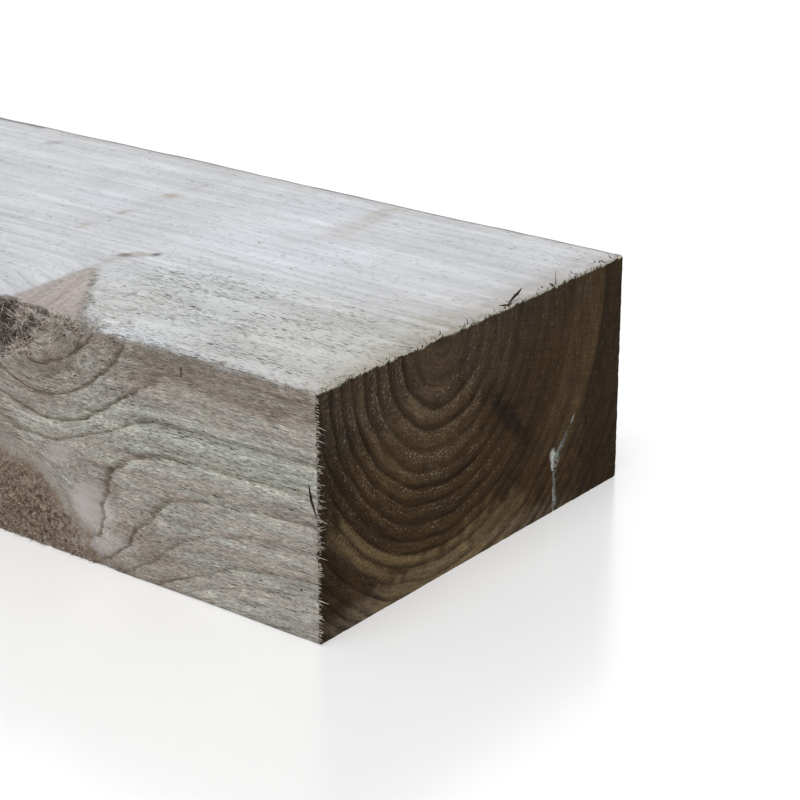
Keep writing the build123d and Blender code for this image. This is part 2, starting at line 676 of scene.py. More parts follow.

        # Torn wood: brown hollows under a tangle of pale shreds.
        # Painted shade darkens the hollow where it is deep, and shows fewer shreds there
        bend = add("TexNoise", {"Vector": place, "Detail": 1.0}, size=(6, 6, 6), out="Color")
        tangle = add("VectorMath", {0: bend, 1: (9, 9, 9), 2: place}, operation="MULTIPLY_ADD")
        tangle = add("TexNoise", {"Vector": tangle, "Detail": 1.0}, size=(3, 3, 3), out="Color")
        shreds = 0.0
        for strand in add("SeparateColor", {0: tangle}).node.outputs[:2]:
            ridge = add("Math", {0: strand, 1: 0.5}, operation="SUBTRACT")
            ridge = add("Math", {0: ridge}, operation="ABSOLUTE")
            ridge = add("MapRange", {0: ridge, 1: 0.0, 2: 0.05, 3: 1.0, 4: 0.0})
            shreds = add("Math", {0: ridge, 1: shreds}, operation="MAXIMUM")
        lumps = add("TexNoise", {"Vector": place, "Detail": 3.0, "Roughness": 0.6}, size=(4, 3, 3))
        lumps = add("MapRange", {0: lumps, 1: 0.40, 2: 0.58})
        # Painted shade: the deeper the hollow, the darker the torn wood and the fewer its pale
        # shreds
        deep = add("Attribute", attribute_name="hollow", out="Fac")
        dull = add("Math", {0: lumps, 1: -0.2, 2: 1.0}, operation="MULTIPLY_ADD")
        dull = add("Math", {0: dull, 1: deep}, operation="MULTIPLY")
        shown = add("MapRange", {0: deep, 3: 0.8, 4: 0.2})
        shown = add("Math", {0: shreds, 1: shown}, operation="MULTIPLY")
        ragged = linear(self.torn_dark)
        for share, tone in ((lumps, self.torn), (dull, self.torn_hollow_shade), (shown, self.shred)):
            sockets = {FACTOR: share, FIRST: ragged, SECOND: linear(tone)}
            ragged = add("Mix", sockets, data_type="RGBA")
        colour = add("Mix", {FACTOR: torn, FIRST: colour, SECOND: ragged}, data_type="RGBA")

        # Relief
        height = add("Math", {0: rough, 1: comb}, operation="MULTIPLY")
        for part, amount in ((line, -0.3), (pits, -0.6), (speck, -0.5)):
            height = add("Math", {0: part, 1: amount, 2: height}, operation="MULTIPLY_ADD")
        frayed = add("Math", {0: shreds, 1: torn}, operation="MULTIPLY")
        height = add("Math", {0: frayed, 1: 1.5, 2: height}, operation="MULTIPLY_ADD")
        bump = add("Bump", {"Height": height, "Distance": self.relief * MM, "Strength": 1.0})
        surface = add("BsdfPrincipled", {
            "Base Color": colour, "Roughness": self.roughness, "Normal": bump,
            "Specular IOR Level": self.specular,
        })
        add("OutputMaterial", {"Surface": surface})
        return material


@dataclass(frozen=True)
class CrosscutEndGrain:
    """Pine end grain, cut across by a chain saw and dark with the treatment that soaked in there.

    Cut fibre ends swallow light, so the face is a deep, dull brown in which the layers show as
    slightly darker arcs. Crumbs of torn fibre along the layers catch the light as pale specks, and
    the saw leaves faint slanted scratches. A pale rim along the upper edge is partly the top's
    bleaching reaching over it and partly a painted highlight where that edge catches the light.

    Attributes:
        name: the material's name.
        early, late: colours of the two kinds of wood.
        deep: colour where more of the treatment soaked in.
        crumb: colour of the crumbs.
        bleached: colour of the pale upper edge: the top's bleaching, and partly a painted
            highlight.
        crumb_size: size of a crumb, along the layers, across them and through.
        scratch: length and spacing of the saw's scratches.
        scratch_slant: their angle, in degrees.
        relief, bump: height of the roughness, and how strongly it shades.
        roughness, specular: how dull the end is, and how much it mirrors.
    """

    name: str = "crosscut_treated_end_grain"
    early: str = "4A3A25"
    late: str = "22170F"
    deep: str = "302316"
    crumb: str = "9C907A"
    bleached: str = "C2BEB3"
    crumb_size: Size = (1.0, 0.5, 1.0)
    scratch: tuple[float, float] = (40.0, 1.0)
    scratch_slant: float = -14.0
    relief: float = 0.35
    bump: float = 0.8
    roughness: float = 0.85
    specular: float = 0.06

    def material(self) -> bpy.types.Material:
        """Make the material.

        Returns:
            A material that reads the wood's attributes from the mesh.
        """
        material, add = new_material(self.name)
        growth, late, resin, crumbly, bleach = (
            add("Attribute", attribute_name=name, out="Fac")
            for name in ("growth", "late", "resin", "crumbly", "bleach")
        )
        arcs = add("Attribute", attribute_name="round", out="Vector")
        place = add("TexCoord", out="Object")
        place = add("VectorMath", {0: place, "Scale": 1 / MM}, operation="SCALE")

        # Growth layers, each with a tone of its own
        sway = add("TexNoise", {"Vector": place}, size=(18, 18, 18))
        sway = add("MapRange", {0: sway, 3: -0.28, 4: 0.28})
        layer = add("Math", {0: sway, 1: growth}, operation="ADD")
        phase = add("Math", {0: layer}, operation="FRACT")
        rise = add("MapRange", {0: phase, 1: 0.35, 2: 0.88}, interpolation_type="SMOOTHSTEP")
        fall = add("MapRange", {0: phase, 1: 1.0, 2: 0.88}, interpolation_type="SMOOTHSTEP")
        year = add("Math", {0: layer}, operation="FLOOR")
        year = add("TexWhiteNoise", {"W": year}, noise_dimensions="1D")
        line = add("MapRange", {0: year, 3: 0.5, 4: 0.88})
        line = add("Math", {0: line, 1: late}, operation="MULTIPLY")
        worn = add("TexNoise", {"Vector": arcs, "Detail": 3.0}, size=(22, 4, 22))
        worn = add("MapRange", {0: worn, 1: 0.36, 2: 0.6, 3: 0.55})
        for part in (rise, fall, worn):
            line = add("Math", {0: line, 1: part}, operation="MULTIPLY")
        soaked = add(
            "TexNoise", {"Vector": arcs, "Detail": 4.0, "Roughness": 0.6}, size=(60, 14, 40)
        )
        soaked = add("MapRange", {0: soaked, 1: 0.4, 2: 0.62, 4: 0.7})
        tones = [(soaked, self.deep)]
        tones += [
            (add("Attribute", attribute_name=tint.attribute, out="Fac"), tint.value)
            for tint in Tint if tint is not Tint.CHALK
        ]
        tones.append((line, self.late))
        colour = linear(self.early)
        for share, tone in tones:
            sockets = {FACTOR: share, FIRST: colour, SECOND: linear(tone)}
            colour = add("Mix", sockets, data_type="RGBA")

        # Roughness, streaks along the layers and the saw's scratches
        fuzz = add(
            "TexNoise", {"Vector": place, "Detail": 3.0, "Roughness": 0.6}, size=(0.9, 0.9, 0.9)
        )
        streak = add("TexNoise", {"Vector": arcs, "Detail": 2.0}, size=(9, 1.2, 9))
        slant = add("Mapping", {
            "Vector": place, "Rotation": (math.radians(self.scratch_slant), 0.0, 0.0),
            "Scale": (1.0, *self.scratch),
        }, vector_type="TEXTURE")
        scratches = add("TexNoise", {"Vector": slant, "Scale": 1.0, "Detail": 2.0})
        for value, least, most in ((fuzz, 0.7, 1.3), (streak, 0.78, 1.22), (scratches, 0.9, 1.1)):
            shade = add("MapRange", {0: value, 1: 0.34, 2: 0.66, 3: least, 4: most})
            sockets = {FACTOR: 1.0, FIRST: colour, SECOND: shade}
            colour = add("Mix", sockets, data_type="RGBA", blend_type="MULTIPLY")

        # Pale crumbs
        crumbs = add("TexNoise", {"Vector": arcs, "Detail": 1.0}, size=self.crumb_size)
        crumbs = add("Math", {0: crumbly, 1: 0.12, 2: crumbs}, operation="MULTIPLY_ADD")
        crumbs = add("Math", {0: line, 1: -0.1, 2: crumbs}, operation="MULTIPLY_ADD")
        soft = add("MapRange", {0: phase, 1: 0.1, 2: 0.7, 3: 0.03, 4: -0.05})
        crumbs = add("Math", {0: soft, 1: crumbs}, operation="ADD")
        crumbs = add("MapRange", {0: crumbs, 1: 0.745, 2: 0.82, 4: 0.8})

        # Resin that dried in the check
        chalk = add("Attribute", attribute_name=Tint.CHALK.attribute, out="Fac")
        chalk = add("Math", {0: chalk, 1: resin}, operation="MAXIMUM")
        bits = add("TexNoise", {"Vector": place}, size=(1.2, 0.9, 1.2))
        bits = add("MapRange", {0: bits, 1: 0.3, 2: 0.5})
        bits = add("Math", {0: bits, 1: chalk}, operation="MULTIPLY")

        # The top's bleaching, ragged over the upper edge, and partly a painted highlight on that
        # edge
        frayed = add("TexNoise", {"Vector": place, "Detail": 3.0}, size=(0.9, 0.9, 0.9))
        frayed = add("MapRange", {0: frayed, 3: -0.3, 4: 0.3})
        over = add("Math", {0: bleach, 1: frayed}, operation="ADD")
        over = add("MapRange", {0: over, 1: 0.15, 2: 0.65})
        for share, tone in ((crumbs, self.crumb), (bits, Tint.CHALK.value), (over, self.bleached)):
            sockets = {FACTOR: share, FIRST: colour, SECOND: linear(tone)}
            colour = add("Mix", sockets, data_type="RGBA")

        # Relief
        height = fuzz
        for part, amount in ((crumbs, 0.8), (line, 0.12), (scratches, 0.5)):
            height = add("Math", {0: part, 1: amount, 2: height}, operation="MULTIPLY_ADD")
        bump = add("Bump", {"Height": height, "Distance": self.relief * MM, "Strength": self.bump})
        surface = add("BsdfPrincipled", {
            "Base Color": colour, "Roughness": self.roughness, "Normal": bump,
            "Specular IOR Level": self.specular,
        })
        add("OutputMaterial", {"Surface": surface})
        return material


@dataclass(frozen=True)
class LiftedFibre:
    """Small bundles of fibre that a saw lifted, dull and a little uneven in tone along them.

    Attributes:
        name: the material's name.
        tone, dark_tone: its lightest and darkest colours.
        patch: about how long a patch of one tone is.
        roughness, specular: how dull a fibre is, and how much it mirrors.
    """

    name: str
    tone: str
    dark_tone: str
    patch: float = 2.0
    roughness: float = 0.9
    specular: float = 0.2

    def material(self) -> bpy.types.Material:
        """Make the material.

        Returns:
            A material for all the fibres of a piece.
        """
        material, add = new_material(self.name)
        place = add("TexCoord", out="Object")
        place = add("VectorMath", {0: place, "Scale": 1 / MM}, operation="SCALE")
        uneven = add("TexNoise", {"Vector": place}, size=(self.patch, self.patch, self.patch))
        uneven = add("MapRange", {0: uneven, 1: 0.35, 2: 0.65})
        sockets = {FACTOR: uneven, FIRST: linear(self.tone), SECOND: linear(self.dark_tone)}
        colour = add("Mix", sockets, data_type="RGBA")
        surface = add("BsdfPrincipled", {
            "Base Color": colour, "Roughness": self.roughness, "Specular IOR Level": self.specular,
        })
        add("OutputMaterial", {"Surface": surface})
        return material


@dataclass
class SleeperSurface:
    """The sleeper's whole surface, as one closed mesh.

    Attributes:
        low, high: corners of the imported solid.
        log: the log that it was sawn from.
        root_cell: the largest square that the faces are divided into, before it is halved.
        halvings: how often a square may be halved.
        grading: how fast cells may grow away from a fine zone.
        cell: the largest cell on the plain faces.
        plain_from: how far from the checked end the squares start to be stretched along the grain.
        stretch: how much longer they are there.
        arris: radius of the eased long edges.
        check_depth: how deep the dried resin in the check lies.
        tear_span: where the torn knot starts and ends, from the checked end.
        tear_foot, tear_back: its lowest height, and how far across the top it reaches.
        ray_reach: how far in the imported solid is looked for.
        knot_cell: the largest cell on a knot past the photographed length.
        zones: where the mesh is finer.
        lattice: corners of the mesh, by their places in the grid of smallest squares.
        faces, face_of: its polygons, and the sawn face that each lies on.
        places, values: where the corners end up, and what their finishes read there.
    """

    low: np.ndarray
    high: np.ndarray
    log: GrownLog
    root_cell: float = 100.0
    halvings: int = 8
    grading: float = 0.45
    cell: float = 9.0
    plain_from: float = 400.0
    stretch: float = 2.0
    arris: float = 1.0
    check_depth: float = 1.5
    tear_span: tuple[float, float] = (96.0, 206.0)
    tear_foot: float = 58.0
    tear_back: float = -80.0
    ray_reach: float = 60.0
    knot_cell: float = 2.2
    zones: list[FineZone] = field(default_factory=lambda: [
        FineZone((0, -101, 99), (330, 101, 101), 4.3),
        FineZone((110, -101, 99), (178, -12, 101), 2.2),
        FineZone((0, -101, -1), (185, -99, 101), 2.2),
        FineZone((0, -101, -1), (0, 101, 101), 2.2),
        FineZone((0, -101, 99.9), (185, -99.9, 101), 1.1),
        FineZone((0, -101, -1), (1, -99, 101), 1.1),
        FineZone((0, -101, 99), (1, 101, 101), 1.1),
        FineZone((112, -101, 66), (185, -88, 101), 1.1),
        FineZone((0, 45, -1), (0, 72, 42), 0.55),
    ])
    lattice: np.ndarray = field(default_factory=lambda: np.zeros((0, 3), int))
    faces: list[list[int]] = field(default_factory=list)
    face_of: list[Face] = field(default_factory=list)
    places: np.ndarray = field(default_factory=lambda: np.zeros((0, 3)))
    values: dict[str, np.ndarray] = field(default_factory=dict)

    def __post_init__(self) -> None:
        """Add a fine zone round each knot past the photographed length."""
        for branch in self.log.branches:
            start, way = self.log.start_of(branch), branch.direction()
            walls = np.where(way > 0, self.high, self.low)
            out = min((walls - start)[way != 0] / way[way != 0])
            leaves = start + way * out
            reach = 1.5 * branch.spread * out + 4
            middle = np.array([self.high[0] - leaves[0], leaves[1], leaves[2]])
            if middle[0] > self.plain_from:
                self.zones.append(FineZone(middle - reach, middle + reach, self.knot_cell))

    @property
    def unit(self) -> float:
        """Size of the smallest cell."""
        return self.root_cell / 2**self.halvings

    @property
    def span(self) -> np.ndarray:
        """Size of the lattice.

        Returns:
            How many smallest cells there are along each axis.
        """
        size = self.high - self.low
        size[0] = self.plain_from + (size[0] - self.plain_from) / self.stretch
        return np.rint(size / self.unit).astype(int)

    def placed(self, lattice: np.ndarray) -> np.ndarray:
        """Turn places in the lattice into places in the sleeper's frame.

        Args:
            lattice: rows of counts of smallest cells along the three axes.

        Returns:
            Rows of x, y and z.
        """
        places = self.low + lattice * self.unit
        along = (self.span[0] - lattice[:, 0]) * self.unit
        along += np.maximum(along - self.plain_from, 0) * (self.stretch - 1)
        places[:, 0] = self.high[0] - along
        return places

    def wanted_cell(self, points: np.ndarray) -> np.ndarray:
        """How large a cell may be, from the fine zones.

        Args:
            points: rows of x, y and z.

        Returns:
            The largest cell allowed at each point.
        """
        from_end = np.column_stack((self.high[0] - points[:, 0], points[:, 1:]))
        wanted = np.full(len(points), self.cell)
        for zone in self.zones:
            outside = np.maximum(np.maximum(zone.low - from_end, from_end - zone.high), 0)
            wanted = np.minimum(wanted, zone.cell + self.grading * np.linalg.norm(outside, axis=1))
        return wanted

    def divide(self, face: Face) -> list[tuple[np.ndarray, int]]:
        """Halve one face's squares until none is larger than wanted.

        Args:
            face: the face to divide.

        Returns:
            Squares of each size: the lattice places of their low corners, and their side.
        """
        axis, far, first, second = face.value
        side = 2**self.halvings
        half_diagonal = 0.7
        grid = np.meshgrid(
            range(0, self.span[first], side), range(0, self.span[second], side), indexing="ij"
        )
        cells = np.stack([g.ravel() for g in grid], axis=1)
        done = []
        while side:
            middle = np.zeros((len(cells), 3))
            middle[:, axis] = self.span[axis] * far
            middle[:, [first, second]] = cells + side / 2
            needed = side * self.unit * (1 + self.grading * half_diagonal)
            fits = (self.wanted_cell(self.placed(middle)) >= needed) | (side == 1)
            corner = np.zeros((len(cells), 3), int)
            corner[:, axis] = self.span[axis] * far
            corner[:, [first, second]] = cells
            done.append((corner[fits], side))
            cells = cells[~fits]
            side //= 2
            steps = np.array([(0, 0), (side, 0), (0, side), (side, side)])
            cells = (cells[:, None] + steps).reshape(-1, 2)
        return done

    def lay_out(self) -> None:
        """Divide all faces, and join neighbours of different sizes by the corners they share."""
        # A corner's three places in the lattice make one key
        bits = 13
        weights = np.array([1 << 2 * bits, 1 << bits, 1])
        outlines = []
        for face in Face:
            _, _, first, second = face.value
            for corner, side in self.divide(face):
                along = np.zeros(3, int)
                along[first] = side
                up = np.zeros(3, int)
                up[second] = side
                loop = [corner, corner + along, corner + along + up, corner + up]
                if not face.winds_outward:
                    loop.reverse()
                keys = np.stack([c @ weights for c in loop], axis=1)
                outlines += [(face, side, row) for row in keys.tolist()]
        corners = sorted({key for _, _, row in outlines for key in row})
        number = {key: index for index, key in enumerate(corners)}

        def between(start: int, end: int, side: int) -> list[int]:
            """Find the corners that smaller neighbours have on an edge.

            Args:
                start, end: keys of the edge's own corners.
                side: its length.

            Returns:
                Keys of the corners between them, in order.
            """
            middle = (start + end) // 2
            if side < 2 or middle not in number:
                return []
            half = side // 2
            return between(start, middle, half) + [middle] + between(middle, end, half)

        for face, side, row in outlines:
            outline = []
            for start, end in zip(row, row[1:] + row[:1]):
                outline.append(start)
                outline += between(start, end, side)
            self.faces.append([number[key] for key in outline])
            self.face_of.append(face)
        keys = np.array(corners)
        self.lattice = np.stack([keys // weight % (1 << bits) for weight in weights], axis=1)

    def on_face(self, face: Face) -> np.ndarray:
        """Which corners lie on a face."""
        return self.lattice[:, face.value[0]] == self.span[face.value[0]] * face.value[1]

    @property
    def on_ends(self) -> np.ndarray:
        """Which corners lie on an end."""
        return self.on_face(Face.CHECKED_END) | self.on_face(Face.PLAIN_END)

    def eased(self) -> tuple[np.ndarray, np.ndarray]:
        """Ease the long arrises.

        Returns:
            Places and outward directions of the corners.
        """
        near_zero, least = 1e-6, 1e-9
        flat = self.placed(self.lattice)
        heart = flat.copy()
        heart[:, 1:] = np.clip(flat[:, 1:], self.low[1:] + self.arris, self.high[1:] - self.arris)
        reach = flat[:, 1:] - heart[:, 1:]
        both = (np.abs(reach) > near_zero).all(axis=1)
        length = np.maximum(np.linalg.norm(reach, axis=1), least)
        places = flat.copy()
        places[both, 1:] = heart[both, 1:] + reach[both] / length[both, None] * self.arris
        outward = np.zeros_like(flat)
        outward[:, 1:] = reach / length[:, None]
        outward[length < near_zero] = 0
        for face in (Face.PLAIN_END, Face.CHECKED_END):
            inner = self.on_face(face) & (length < near_zero)
            outward[inner, 0] = 2 * face.value[1] - 1
        return places, outward

    def sunk_to_solid(
        self, places: np.ndarray, picked: np.ndarray, inward: Size, most: float
    ) -> np.ndarray:
        """Args:
            places: where all corners are, and changed to where they end up.
            picked: which of them to push.
            inward: the direction to push.
            most: how far at most.

        Returns:
            How far each corner was pushed.
        """
        # Rays start outside, and a hit within the slack is the sawn face itself
        outside, slack = 4.0, 0.02
        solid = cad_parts[NODE].data
        corners = [v.co / MM for v in solid.vertices]
        tree = BVHTree.FromPolygons(corners, [tuple(p.vertices) for p in solid.polygons])
        inward = Vector(inward).normalized()
        depth = np.zeros(len(places))
        for index in np.flatnonzero(picked):
            start = Vector(places[index]) - inward * outside
            hit, _, _, distance = tree.ray_cast(start, inward, self.ray_reach)
            if hit is not None and distance > outside + slack:
                depth[index] = min(distance - outside, most)
                places[index] += np.array(inward) * depth[index]
        return depth

    def build(self) -> bpy.types.Object:
        """Make the mesh, with its wood read from the log.

        Returns:
            The object, not dressed yet.
        """
        self.lay_out()
        self.cut()
        self.values.update(self.weathered())
        self.values.update(self.tinted())
        smooth_cut = 1 - 0.95 * self.values[Tint.LILAC.attribute]
        for name in ("comb", "pitted"):
            self.values[name] *= smooth_cut
        mesh = smooth_mesh("sleeper_surface", self.places, self.faces)
        for name, numbers in self.values.items():
            flat = numbers.ndim == 1
            layer = mesh.attributes.new(name, "FLOAT" if flat else "FLOAT_VECTOR", "POINT")
            key = "value" if flat else "vector"
            layer.data.foreach_set(key, numbers.astype(np.float32).ravel())
        mesh.polygons.foreach_set("material_index", [int(f.is_end) for f in self.face_of])
        mesh.set_sharp_from_angle(angle=math.radians(50))
        return linked("sleeper_surface", mesh)

    def cut(self) -> None:
        """Place the corners: the tear, the check and the saw's relief, with the wood read there."""
        places, outward = self.eased()
        top, ends = self.on_face(Face.TOP), self.on_ends
        from_end = self.high[0] - places[:, 0]
        start, end = self.tear_span
        near = (from_end > start) & (from_end < end)
        near &= (places[:, 1] < self.tear_back) & (places[:, 2] > self.tear_foot)
        tear = self.sunk_to_solid(places, near, (0, 1, -1), self.ray_reach)
        checked = self.on_face(Face.CHECKED_END)
        check = self.sunk_to_solid(places, checked, (-1, 0, 0), self.check_depth)

        # The upper knot tore away from the near side, and left plain wood there
        gone = smooth(self.tear_foot, self.tear_foot + 24, places[:, 2])
        gone *= smooth(start, start + 30, from_end) * (1 - smooth(end - 20, end, from_end))
        gone *= near & ~top
        values = self.log.read(places, 1 - 0.92 * gone)
        # Sun has bleached some of the bark on the top
        values["bark"] *= np.where(top, 0.55, 1)
        wood = values["wood"]

        # Torn wood is hairy above a ragged hem, and hollow where the knot came out.
        # Where that hollow is deep, the finish darkens it with painted shade
        ragged = unevenness(places, (6, 4, 4), Seed.TEAR_HEM)
        hem = 96 - 5 * smooth(112, 126, from_end) - 18 * smooth(140, 160, from_end)
        hairy = smooth(-2, 3, places[:, 2] - hem + 2 * ragged)
        values["torn"] = smooth(0.05, 1.2, tear) * hairy
        values["hollow"] = smooth(1.5, 5, tear) * smooth(150, 158, from_end + 5 * ragged)
        values["resin"] = 0.6 * smooth(0.3, 1.2, check)

        # Relief of the sawn faces, the knots and the torn wood
        rough = 0.10 * unevenness(wood, (60, 7, 7), Seed.SWELL)
        rough += 0.08 * unevenness(wood, (14, 3, 3), Seed.LIFTED_GRAIN)
        rough = np.where(ends, 0.08 * unevenness(places, (9, 9, 3), Seed.END_RELIEF), rough)
        shreds = 0.9 * unevenness(places, (7, 3, 3), Seed.TORN_LUMPS)
        shreds += 0.6 * unevenness(places, (3, 2, 2), Seed.TORN_BITS)
        lumps = values["knot"] * smooth(2, 16, places[:, 2]) * ~top
        rough = rough + 0.5 * lumps * unevenness(places, (6, 4, 5), Seed.KNOT_LUMPS)
        places += outward * rough[:, None]
        places += np.array([0, -0.7, 0.7]) * (values["torn"] * shreds)[:, None]

        # Sawn end edges crumble back a little, most along the top and the near side
        rims = ends & (sum(self.on_face(face).astype(int) for face in Face) > 1)
        fragile = np.where(top | self.on_face(Face.NEAR_SIDE), 0.35, 0.1)
        crumble = fragile * np.abs(unevenness(places, (2, 2, 2), Seed.CRUMBLED_EDGE))
        places[rims, 0] -= np.sign(places[rims, 0]) * crumble[rims]
        places[:, 2] = np.maximum(places[:, 2], self.low[2])
        self.places, self.values = places, values

    def weathered(self) -> dict[str, np.ndarray]:
        """What weather and the saw did to each corner.

        Returns:
            bleach: how far it is bleached: all of the top, and ragged over its arrises.
            pitted: how many pits the saw left.
            comb: how strongly the fibres are lifted.
            late: how dark the late wood shows.
            crumbly: how many crumbs lie on the end grain.
        """
        places, values = self.places, self.values
        top, ends = self.on_face(Face.TOP), self.on_ends
        below = self.high[2] - places[:, 2]
        ragged = 1.5 + np.where(ends, 0.4, 1.9) * unevenness(places, (6, 3, 3), Seed.BLEACHED_EDGE)
        bleach = np.where(top, 1.0, 0.85 * (1 - smooth(0.2, 1, below / np.maximum(ragged, 0.4))))
        # Pits, which the finish darkens with painted shade: most on the near half of the top, short
        # of the knot
        from_end = self.high[0] - places[:, 0]
        from_side = places[:, 1] - self.low[1]
        worked = (1 - smooth(55, 105, from_side)) * (1 - smooth(128, 166, from_end))
        worked *= (1 - 0.8 * values["knot"]) * (0.7 + 0.3 * smooth(10, 70, from_end))
        patchy = np.clip(0.5 * unevenness(places, (120, 40, 40), Seed.PATCHES), 0, 0.6)
        pitted = np.where(top, np.maximum(0.82 * worked, 0.3 * patchy), 0.1 + 0.4 * patchy)
        pitted *= np.clip(1 + 0.35 * unevenness(values["wood"], (25, 6, 6), Seed.PITS), 0.2, 2)
        comb = np.where(top, 0.12 + 0.4 * pitted, 1.0)
        # Late wood: faint where bleached, in knots and torn wood, and round the lower knot
        hidden = (1 - 0.6 * bleach) * (1 - 0.85 * values["knot"]) * (1 - values["torn"])
        hidden *= np.where(top, 1, 0.75 + 0.25 * smooth(40, 95, from_end))
        hidden *= 1 - 0.3 * smooth(190, 320, from_end)
        by_knot = np.hypot((from_end - 175) / 60, places[:, 2] / 45)
        hidden *= np.where(top, 1, 0.2 + 0.8 * smooth(0.97, 1.1, by_knot))
        # On an end it is lost round the pith and towards the far side, and so are the crumbs
        arc, radius = values["round"][:, 0], values["round"][:, 1]
        faint = smooth(0.5, 1.3, arc / np.maximum(radius, 1)) * smooth(-30, 20, places[:, 1])
        late = np.where(ends, smooth(8, 26, radius) * (1 - 0.8 * faint), values["late"] * hidden)
        crumbly = 0.2 + 0.8 * smooth(10, 25, radius) * (1 - smooth(64, 96, radius))
        crumbly *= 1 - 0.75 * smooth(-12, 30, places[:, 1])
        return {
            "bleach": bleach, "pitted": pitted, "comb": comb, "late": late,
            "crumbly": crumbly + 0.14 * unevenness(places, (20, 15, 15), Seed.CRUMBS),
        }

    def tinted(self) -> dict[str, np.ndarray]:
        """Tint the knots, and lay the marks.

        Returns:
            Strength of every tint at each corner, from 0 to 1 and by attribute name.
        """
        places, values = self.places, self.values
        strength = {tint: np.zeros(len(places)) for tint in Tint}
        frayed = unevenness(places, (5, 5, 5), Seed.MARK_EDGE)
        radius = values["round"][:, 1]
        top = self.on_face(Face.TOP)
        knot = values["knot"]
        soft_knot = smooth(0.15, 0.85, knot + 1.2 * frayed * knot * (1 - knot))
        strength[Tint.BLUSH] += np.where(top, 0.85 * knot, 0)
        strength[Tint.RUST] += np.where(top, 0, 0.65 * soft_knot * (0.9 + 0.1 * frayed))
        measured = places - self.low
        measured[:, 0] = self.high[0] - places[:, 0]
        soft_edge = 0.6
        for face, marks in MARKS.items():
            here = self.on_face(face)
            for mark in marks:
                across = measured[:, face.value[2:]] - mark.place
                turn = math.radians(mark.turn)
                along = across[:, 0] * math.cos(turn) + across[:, 1] * math.sin(turn)
                up = across[:, 1] * math.cos(turn) - across[:, 0] * math.sin(turn)
                away = np.hypot(along / mark.reach[0], up / mark.reach[1])
                away += mark.ragged * 0.5 * frayed
                patch = mark.strength * (1 - smooth(0.5, 1.15, away))
                inner, outer = mark.rings
                patch *= smooth(inner - soft_edge, inner + soft_edge, radius)
                patch *= 1 - smooth(outer - soft_edge, outer + soft_edge, radius)
                strength[mark.tint] += np.where(here, patch, 0)
        return {tint.attribute: np.clip(amount, 0, 1) for tint, amount in strength.items()}

    def loose_strands(
        self, feet: np.ndarray, count: int, length: tuple[float, float], width: tuple[float, float],
        rng: np.random.Generator,
    ) -> list["Strand"]:
        """Loose shreds that stand on some of the corners.

        Args:
            feet: which corners.
            count: how many shreds.
            length, width: least and most of each.
            rng: picks where they stand and how they lie.

        Returns:
            The shreds.
        """
        strands = []
        for foot in self.places[rng.choice(np.flatnonzero(feet), count)]:
            aim = rng.normal(size=3) * (1.0, 0.3, 0.7) + (0.1, -0.25, -0.1)
            curl = rng.normal(size=3) * 1.1
            strands.append(Strand(foot, aim, curl, rng.uniform(*length), rng.uniform(*width)))
        return strands

    def shreds_and_fuzz(self, rng: np.random.Generator) -> tuple[list["Strand"], list["Strand"]]:
        """Shreds in clumps round the torn knot and in its hollow, and fuzz on the lower knot.

        Args:
            rng: picks where they stand and how they lie.

        Returns:
            The shreds and the fuzz.
        """
        torn, hollow = self.values["torn"] > 0.6, self.values["hollow"] >= 0.35
        clumps = unevenness(self.places, (7, 5, 5), Seed.CLUMPS) > -0.2
        shreds = self.loose_strands(torn & clumps & ~hollow, 700, (1.2, 4.5), (0.25, 0.65), rng)
        fuzzy = (self.values["knot"] > 0.55) & self.on_face(Face.NEAR_SIDE)
        fuzzy &= self.high[0] - self.places[:, 0] < 200
        fuzz = self.loose_strands(fuzzy, 900, (0.8, 2.4), (0.25, 0.5), rng)
        shreds += self.loose_strands(torn & hollow, 110, (1.5, 4.5), (0.25, 0.6), rng)
        return shreds, fuzz


